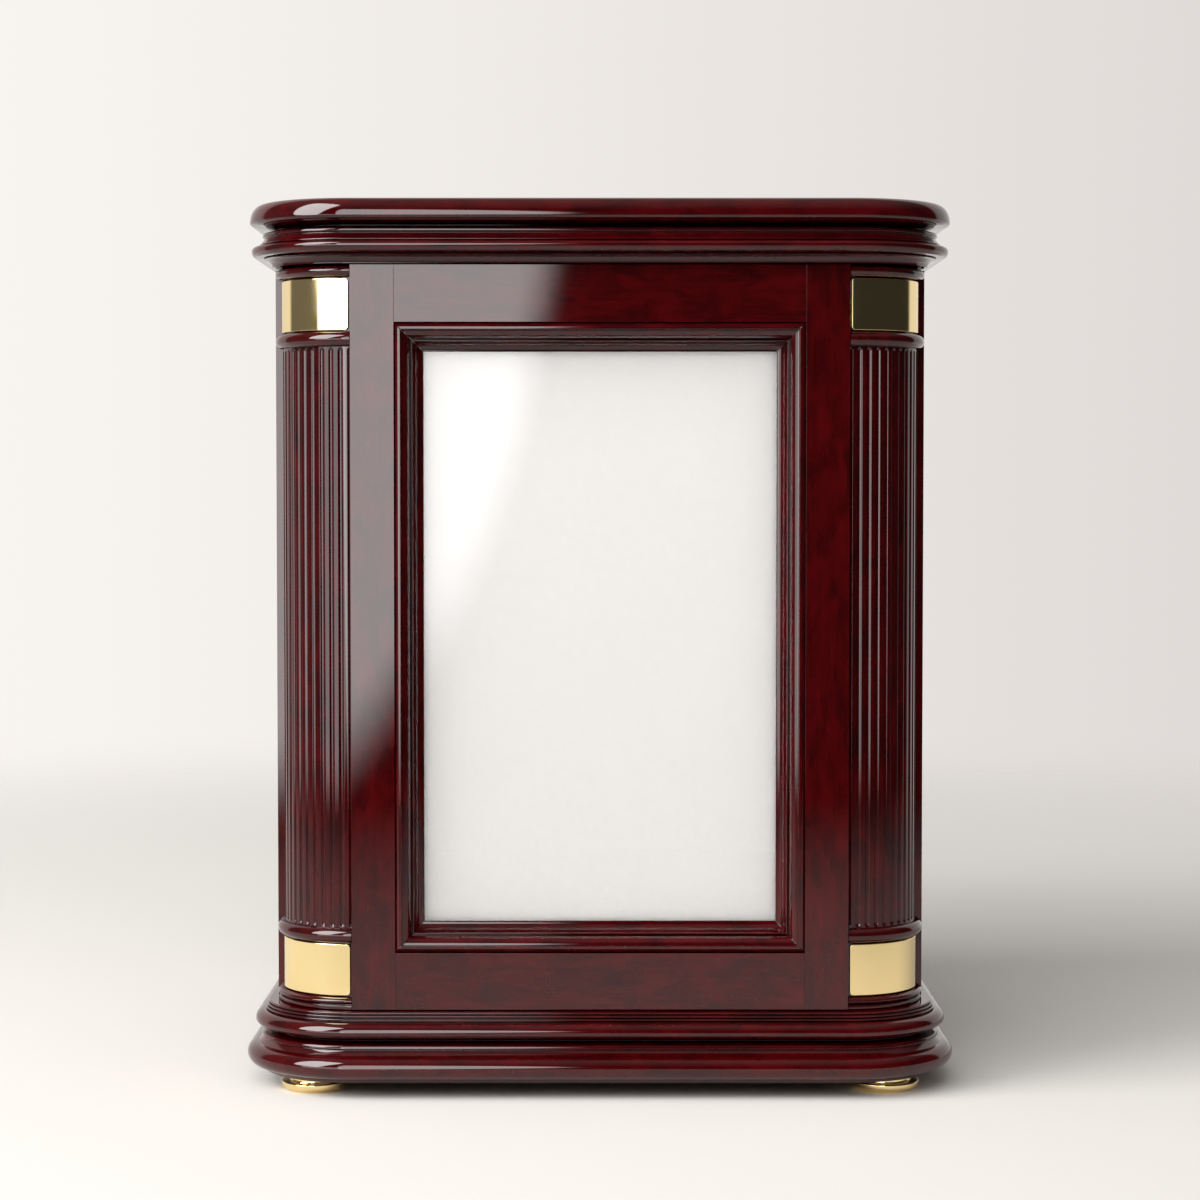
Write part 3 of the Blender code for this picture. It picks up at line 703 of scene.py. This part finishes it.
def band_mesh(bottom):
    length = BAND_RADIUS * math.pi / 2 - 2 * BAND_END_GAP
    bm = bmesh.new()
    outline = []
    for index, (sx, sz) in enumerate([(1, 1), (-1, 1), (-1, -1), (1, -1)]):
        centre = Vector((sx * (length / 2 - BAND_CORNER), 0, sz * (BAND_HEIGHT / 2 - BAND_CORNER)))
        for step in range(7):
            angle = math.radians(90 * (index + step / 6))
            around = Vector((math.cos(angle), 0, math.sin(angle)))
            outline.append(bm.verts.new(centre + BAND_CORNER * around))
    back = bm.faces.new(outline)
    front = bmesh.ops.extrude_face_region(bm, geom=[back, *back.edges, *back.verts])["geom"]
    front_verts = [v for v in front if isinstance(v, bmesh.types.BMVert)]
    bmesh.ops.translate(bm, verts=front_verts, vec=(0, BAND_THICKNESS, 0))
    rim = [e for e in bm.edges if all(v in front_verts for v in e.verts)]
    bmesh.ops.bevel(bm, geom=rim, offset=BAND_BEVEL, segments=3, affect="EDGES", profile=0.5)
    for cut_at in range(1, BAND_CUTS):
        x = length * (cut_at / BAND_CUTS - 0.5)
        bmesh.ops.bisect_plane(bm, geom=[*bm.verts, *bm.edges, *bm.faces], plane_co=(x, 0, 0),
                               plane_no=(1, 0, 0), dist=0.000001)
    for vert in bm.verts:
        angle = math.pi / 4 + vert.co.x / BAND_RADIUS
        radius = BAND_RADIUS - BAND_THICKNESS + vert.co.y
        height = vert.co.z + bottom + BAND_HEIGHT / 2
        vert.co = Vector((radius * math.cos(angle), radius * math.sin(angle), height))
    return closed_mesh(bm, "band", 50)


for level in ("upper", "lower"):
    mesh = band_mesh(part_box(f"band_{level}_front_left")[0].z)
    for name in CORNERS:
        piece = link(f"band_polished_{level}_{name}", at_corner(mesh, name), brass)
        finish_piece(piece, "brass", f"band_{level}_{name}")
print("band faces:", len(mesh.polygons))

# %% [markdown]
# ## The feet
#
# A foot is a low turned brass pad: a flat sole, a rounded rim, a flat shoulder and a short
# neck that screws into the base. The corner tree turns it, with the centres on one axis.

# %% Feet
FOOT_SPREAD = 75 * MM
neck_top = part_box("foot_front_left")[1].z
rim = [(7.4, 0), (7.5, 0.5)] + quarter((7.5, 0.5), (9.0, 1.35), "flat", 6) + [(9.0, 2.1)]
rim += quarter((9.0, 2.1), (8.7, 2.4), "upright", 5) + [(8.2, 2.5), (6.8, 2.5), (6.8, neck_top / MM)]
foot_mesh = run_tree("foot", round_corners, carried_round([(r * MM, z * MM) for r, z in rim], 0.0),
                     {"Corner centre": 0.0, "Steps per corner": 16, "Material": brass})
for name in CORNERS:
    across, along = (1 if "right" in name else -1), (1 if "back" in name else -1)
    mesh = foot_mesh.copy()
    mesh.transform(Matrix.Translation((across * FOOT_SPREAD, along * FOOT_SPREAD, 0)))
    finish_piece(link("foot_turned_" + name, mesh, brass), "brass", "foot_" + name)

# %% [markdown]
# ## The front frame and the panels
#
# Stiles run from base to crown, and the rails fit between them. Each is a planed board
# whose arrises were eased with sandpaper before lacquering, so each is a box with a small
# bevel. The stiles' grain is upright and the rails' runs across. The sides and the back
# are plain panels, upright too.


# %% Boards
def board(name, node, material, slot="mahogany", ease=0.05 * MM, grow=(0, 0, 0)):
    """A box in the place of a node, with eased arrises. It may grow a little into its joints."""
    low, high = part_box(node)
    grow = Vector(grow)
    bm = box_bmesh(low - grow, high + grow)
    bmesh.ops.bevel(bm, geom=bm.edges[:], offset=ease, segments=2, affect="EDGES", profile=0.5)
    return finish_piece(link(name, closed_mesh(bm, name, 50), material), slot, node)


INTO_JOINT = 0.14 * MM     # the model leaves 0.3 mm, and two pieces that each take this meet
for place, (node, grain) in enumerate([("stile_left", "Z"), ("stile_right", "Z"), ("rail_top", "X"),
                                       ("rail_bottom", "X"), ("side_panel_left", "Z"),
                                       ("side_panel_right", "Z"), ("back_panel", "Z")], start=4):
    material = lacquered_mahogany("lacquered_mahogany_" + node, grain, place)
    board(node + "_planed", node, material, grow=(0 if "side" in node else INTO_JOINT, 0, 0))

# %% [markdown]
# ## The sight moulding
#
# Four lengths of moulding line the opening and hold the glass. From the outside in: a
# narrow flat that stands proud of the frame, with a sloped outer edge, then an ovolo, an
# inner bead, and a hollow that slopes down to the glass. Each length is its section pushed
# from mitre to mitre. The mitres are closed to a hair, and filled with lacquer.

# %% Sight moulding
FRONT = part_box("stile_left")[0].y
sight_low, sight_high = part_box("sight_moulding_left")
SIGHT_CENTRE = (sight_low.z + sight_high.z) / 2


HAIR = 0.04 * MM             # half the gap at a mitre
FILLET_WIDTH = 0.2 * MM
FILLET_LIFT = 0.07 * MM


def sight_section():
    """Points of (inward from the outer edge, depth behind the front)."""
    points = [(0, 0.6), (0, 0.4), (0.8, -0.24), (0.92, -0.3), (1.5, -0.3), (1.58, -0.2), (1.6, 0.5)]
    points += quarter((1.6, 0.5), (3.8, 3.1), "flat", 12) + [(3.8, 3.7), (4.0, 3.7)]
    points += quarter((4.0, 3.7), (4.3, 3.2), "upright", 5) + quarter((4.3, 3.2), (4.6, 3.7), "flat", 5)
    points += [(4.6, 4.2)] + quarter((4.6, 4.2), (6.7, 7.5), "upright", 10)
    points += [(7.0, 7.5), (7.0, 8.5), (0, 8.5)]
    return eased([(x * MM, y * MM) for x, y in points], 0.1 * MM)


def sight_length(name, half_length, distance, turn, material):
    """One length, mitred at both ends. Lacquer fills each mitre, and rises to it in a small fillet."""
    bm = bmesh.new()
    section = sight_section()
    rings = []
    tip, start = (HAIR, FILLET_LIFT), (FILLET_WIDTH, 0)
    for side, (back, lift) in ((-1, tip), (-1, start), (1, start), (1, tip)):
        ring = []
        for inward, depth in section:
            seen = 0.2 * MM < inward < 6.9 * MM and depth < 7.6 * MM
            across = side * (half_length - back - inward)
            ring.append(bm.verts.new((across, depth + FRONT - (lift if seen else 0), inward - distance)))
        rings.append(ring)
    count = len(section)
    for near, far in zip(rings, rings[1:]):
        for i in range(count):
            j = (i + 1) % count
            bm.faces.new((near[i], near[j], far[j], far[i]))
    bm.faces.new(rings[0])
    bm.faces.new(rings[-1])
    bm.transform(Matrix.Translation((0, 0, SIGHT_CENTRE)) @ Matrix.Rotation(math.radians(-turn), 4, "Y"))
    piece = link("sight_moulding_run_" + name, closed_mesh(bm, name, 50), material)
    return finish_piece(piece, "mahogany", "sight_moulding_" + name)


SIGHT_WIDTH = 7 * MM
half_width = 46 * MM + SIGHT_WIDTH
half_height = 74.4 * MM + SIGHT_WIDTH
sight_x = lacquered_mahogany("lacquered_mahogany_sight_across", "X", 12)
sight_z = lacquered_mahogany("lacquered_mahogany_sight_upright", "Z", 13)
sight_length("bottom", half_width, half_height, 0, sight_x)
sight_length("right", half_height, half_width, 90, sight_z)
sight_length("top", half_width, half_height, 180, sight_x)
sight_length("left", half_height, half_width, 270, sight_z)
print("opening", round(2 * half_width / MM, 1), "by", round(2 * half_height / MM, 1), "mm")

# %% [markdown]
# ## Glass, card and backing
#
# Behind the moulding lie the glass, the blank card and the fibreboard, as they would be
# dropped in from behind. All three are flat sheets with cut edges.

# %% Glazing
board("glass_pane", "picture_glass", glass, "glass", 0.15 * MM)
board("blank_card", "photo_insert", card, "card", 0.05 * MM)
board("fibreboard_backing", "backing_board", fibreboard, "backing", 0.1 * MM)

# %% [markdown]
# ## The bottom board and its screws
#
# The board closes the chamber from below, and four brass screws hold it against its ledge.
# A screw head is turned, slotted and countersunk flush. A tree puts the head on four points
# and turns each slot its own way, as a hand would leave it.

# %% Bottom board
bottom_wood = lacquered_mahogany("lacquered_mahogany_bottom_board", "X", 14)
board("bottom_board_screwed", "bottom_board", bottom_wood)
SCREW_PLACE = 57.5 * MM
HEAD_RADIUS = 2.6 * MM


def screw_head():
    """A countersunk head with a slot, face down, its rim at Z = 0."""
    bm = bmesh.new()
    rings = [(0.0, 0.35), (1.2, 0.33), (2.1, 0.2), (2.6, 0.0), (2.6, -0.15), (1.2, -1.6), (0.0, -1.6)]
    previous = None
    for radius, height in rings:
        ring = [bm.verts.new((radius * MM * math.cos(a), radius * MM * math.sin(a), -height * MM))
                for a in (math.tau * k / 32 for k in range(32))]
        if previous:
            for k in range(32):
                bm.faces.new((previous[k], previous[(k + 1) % 32], ring[(k + 1) % 32], ring[k]))
        previous = ring
    bmesh.ops.remove_doubles(bm, verts=bm.verts, dist=0.00001)
    obj = link("screw_head", closed_mesh(bm, "screw_head", 35), brass)
    cut(obj, (-3 * MM, -0.3 * MM, -1 * MM), (3 * MM, 0.3 * MM, 0.55 * MM))
    return obj


def screws_tree():
    tree = bpy.data.node_groups.new("screws_on_points", "GeometryNodeTree")
    group_input(tree, "Section", "NodeSocketGeometry")
    group_input(tree, "Screw", "NodeSocketObject")
    group_input(tree, "Seed", "NodeSocketInt", 3)
    group_input(tree, "Material", "NodeSocketMaterial")
    start = add(tree, "NodeGroupInput")
    shape = add(tree, "GeometryNodeObjectInfo", {"Object": start.outputs["Screw"]}).outputs["Geometry"]
    turn = add(tree, "FunctionNodeRandomValue", {
        "Min": (0.0, 0.0, 0.0), "Max": (0.0, 0.0, math.pi), "Seed": start.outputs["Seed"]},
        data_type="FLOAT_VECTOR").outputs[0]
    put = add(tree, "GeometryNodeInstanceOnPoints", {
        "Points": start.outputs["Section"], "Instance": shape, "Rotation": turn}).outputs[0]
    close_tree(tree, put, start.outputs["Material"])
    return tree


head = screw_head()
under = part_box("bottom_board")[0].z
spots = [(x * SCREW_PLACE, y * SCREW_PLACE, under) for x in (-1, 1) for y in (-1, 1)]
screws = run_tree("screws", screws_tree(), spots, {"Screw": head, "Seed": 3, "Material": brass}, sharp=35)
bpy.data.objects.remove(head, do_unlink=True)
finish_piece(link("bottom_screws", screws, brass), "brass")

# %% [markdown]
# ## The floor
#
# The urn stands on a plain pale floor that fades into a plain pale background. From below
# the floor is clear, so that the underside can be looked at.


# %% Floor
FLOOR_CENTRE = (0.0, 0.12, 0.0)
FLOOR_SOLID = 0.24    # metres from that centre, where the floor begins to fade into the background
FLOOR_GONE = 0.95


def floor_material():
    material, tree, output = new_material("matt_studio_floor")
    coords = add(tree, "ShaderNodeTexCoord").outputs["Object"]
    away = add(tree, "ShaderNodeVectorMath", {
        0: coords, 1: FLOOR_CENTRE}, operation="DISTANCE").outputs["Value"]
    fade = add(tree, "ShaderNodeMapRange", {"Value": away, "From Min": FLOOR_SOLID, "From Max": FLOOR_GONE},
               interpolation_type="SMOOTHSTEP").outputs[0]
    from_below = add(tree, "ShaderNodeNewGeometry").outputs["Backfacing"]
    fade = add(tree, "ShaderNodeMath", {0: fade, 1: from_below}, operation="MAXIMUM").outputs[0]
    diffuse = add(tree, "ShaderNodeBsdfDiffuse", {"Color": linear("#E4E1DC")})
    clear = add(tree, "ShaderNodeBsdfTransparent")
    mixed = add(tree, "ShaderNodeMixShader", {0: fade, 1: diffuse.outputs[0], 2: clear.outputs[0]})
    tree.links.new(mixed.outputs[0], output.inputs["Surface"])
    return material


FLOOR_REACH = 1.1
floor_mesh = bpy.data.meshes.new("floor")
floor_corners = [(x * FLOOR_REACH, y * FLOOR_REACH, 0) for x, y in ((-1, -1), (1, -1), (1, 1), (-1, 1))]
floor_mesh.from_pydata(floor_corners, [], [(0, 1, 2, 3)])
floor = link("floor", floor_mesh, floor_material())
floor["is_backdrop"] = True
print("floor fades between", FLOOR_SOLID, "and", FLOOR_GONE, "m from its centre")

# %% [markdown]
# ## The lights
#
# Lacquer is a mirror, so what it shows is the room. Three soft boxes are mirrored in it: a
# bright one high on the left, which draws the short white strokes on the left column and
# mouldings, a low one under it, which greys the left rims, and a tall one in front, just
# left of the camera, which veils the left half of the front and ends in a soft edge down
# the glass. The light that shapes the urn and its shadow comes from a wide key at the left,
# a fill high in front and a weak one overhead. None of these is mirrored, so each kind of
# light can be set by itself. No lamp shines through the glass, where it would show as a
# bright patch.


# %% Lights
def area_light(name, place, aim, size, radiance, mirrored, turn=0.0):
    """A soft box. A mirrored one shows in reflections, and the others only light."""
    data = bpy.data.lights.new(name, "AREA")
    data.shape = "RECTANGLE"
    data.size, data.size_y = size
    data.energy = radiance * math.pi * size[0] * size[1]
    obj = bpy.data.objects.new(name, data)
    obj.location = place
    look = (Vector(aim) - Vector(place)).to_track_quat("-Z", "Y")
    obj.rotation_euler = (look.to_matrix() @ Matrix.Rotation(math.radians(turn), 3, "Z")).to_euler()
    obj.visible_camera = False
    obj.visible_glossy = mirrored
    obj.visible_diffuse = not mirrored
    obj.visible_transmission = False
    bpy.context.scene.collection.objects.link(obj)
    return data


def fading_edge(light, roundness, core):
    """Dim a soft box towards its edge. Roundness 2 is an ellipse, and more is boxier."""
    light.use_nodes = True
    tree = light.node_tree
    tree.nodes.clear()
    across = add(tree, "ShaderNodeNewGeometry").outputs["Parametric"]
    spots = add(tree, "ShaderNodeVectorMath", {0: across, 1: (2.0, 2.0, 0.0), 2: (-1.0, -1.0, 0.0)},
                operation="MULTIPLY_ADD").outputs[0]
    parts = add(tree, "ShaderNodeSeparateXYZ", {0: spots})
    powers = [calc(tree, "POWER", calc(tree, "ABSOLUTE", parts.outputs[axis]), roundness) for axis in "XY"]
    total = calc(tree, "ADD", powers[0], powers[1])
    out = calc(tree, "POWER", total, 1 / roundness)
    strength = add(tree, "ShaderNodeMapRange", {
        "Value": out, "From Min": core, "From Max": 1.0, "To Min": 1.0, "To Max": 0.0},
        interpolation_type="SMOOTHSTEP")
    glow = add(tree, "ShaderNodeEmission", {"Strength": strength.outputs[0]})
    add(tree, "ShaderNodeOutputLight", {"Surface": glow.outputs[0]})


left_box = area_light("soft_box_left", (-1.10, -1.03, 1.10), (0, 0, 0.12), (1.1, 1.85), 12, True, -10)
fading_edge(left_box, 6.0, 0.85)
low_box = area_light("soft_box_low", (-1.06, -1.575, 0.16), (0, 0, 0.16), (1.6, 0.6), 3.5, True)
fading_edge(low_box, 6.0, 0.8)
front_box = area_light("soft_box_front", (-0.341, -2.0, 0.6), (-0.341, 0, 0.6), (0.66, 1.55), 6.2, True)
fading_edge(front_box, 2.0, 0.86)
area_light("key", (-1.38, -0.73, 0.98), (0, 0, 0.08), (1.2, 1.2), 8.4, False)
area_light("fill", (-0.45, -1.6, 1.5), (0, 0, 0.12), (1.5, 0.9), 4.3, False)
area_light("overhead", (0.0, 0.2, 2.2), (0, 0.1, 0), (2.4, 2.4), 0.4, False)

# %% [markdown]
# ## The room
#
# The room has four strengths, one for each way that it is seen. Reflections find it dark in
# front, which makes the wood look deep, and pale behind, which draws the light rims. Matt
# surfaces are lit softly from the front. Through the glass, an even light from all round
# reaches the card. The camera sees a pale backdrop, darker on the right with painted shade.

# %% Room
BEHIND_GLASS = 1.66    # strength of the even light that reaches the card


def studio_world():
    world = bpy.data.worlds.new("studio")
    world.use_nodes = True
    tree = world.node_tree
    tree.nodes.clear()
    way = add(tree, "ShaderNodeTexCoord").outputs["Generated"]
    parts = add(tree, "ShaderNodeSeparateXYZ", {0: way})

    def ramp(axis, start, end, low, high, interpolation="SMOOTHSTEP"):
        """A strength that goes from low to high between two places along an axis."""
        return add(tree, "ShaderNodeMapRange", {
            "Value": parts.outputs[axis], "From Min": start, "From Max": end,
            "To Min": low, "To Max": high}, interpolation_type=interpolation).outputs[0]

    mirrored = ramp("Y", 0.36, 0.50, 0.03, 0.85)
    above = ramp("Z", 0.5, 1.0, 0.0, 0.35, "LINEAR")
    beside = ramp("X", -0.95, -0.6, 0.13, 0.0, "LINEAR")
    below = ramp("Z", -0.35, -0.12, 0.6, 0.0, "LINEAR")
    for share in (above, beside, below):
        mirrored = calc(tree, "ADD", mirrored, share)
    soft = calc(tree, "MULTIPLY", ramp("Y", -0.8, -0.3, 1.25, 0.12), ramp("Z", 0.12, 0.36, 0.0, 1.0))
    path = add(tree, "ShaderNodeLightPath").outputs
    strength = add(tree, "ShaderNodeMix", {0: path["Is Diffuse Ray"], 2: mirrored, 3: soft}).outputs[0]
    strength = add(tree, "ShaderNodeMix", {
        0: path["Is Transmission Ray"], 2: strength, 3: BEHIND_GLASS}).outputs[0]
    room = add(tree, "ShaderNodeBackground", {"Color": linear("#FFFCF8"), "Strength": strength})
    # Painted shade: the backdrop that the camera sees darkens towards the right.
    side = ramp("X", -0.2, 0.2, 0.0, 1.0, "LINEAR")
    pale_with_painted_shade = add(tree, "ShaderNodeMix", {
        0: side, 6: linear("#F8F4F0"), 7: linear("#E0DBD8")}, data_type="RGBA").outputs[2]
    backdrop = add(tree, "ShaderNodeBackground", {"Color": pale_with_painted_shade, "Strength": 1.0})
    mixed = add(tree, "ShaderNodeMixShader", {
        0: path["Is Camera Ray"], 1: room.outputs[0], 2: backdrop.outputs[0]})
    add(tree, "ShaderNodeOutputWorld", {"Surface": mixed.outputs[0]})
    return world


bpy.context.scene.world = studio_world()

# %% [markdown]
# ## The two boxes
#
# The box of the plain model and the box of the dressed one are written side by side, so
# that a piece that grew would show at once.

look_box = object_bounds()
for label, (low, high) in (("cad", cad_box), ("look", look_box)):
    print(label, [round(v / MM, 2) for v in (*low, *high)])
print(len(dressed), "pieces dressed")
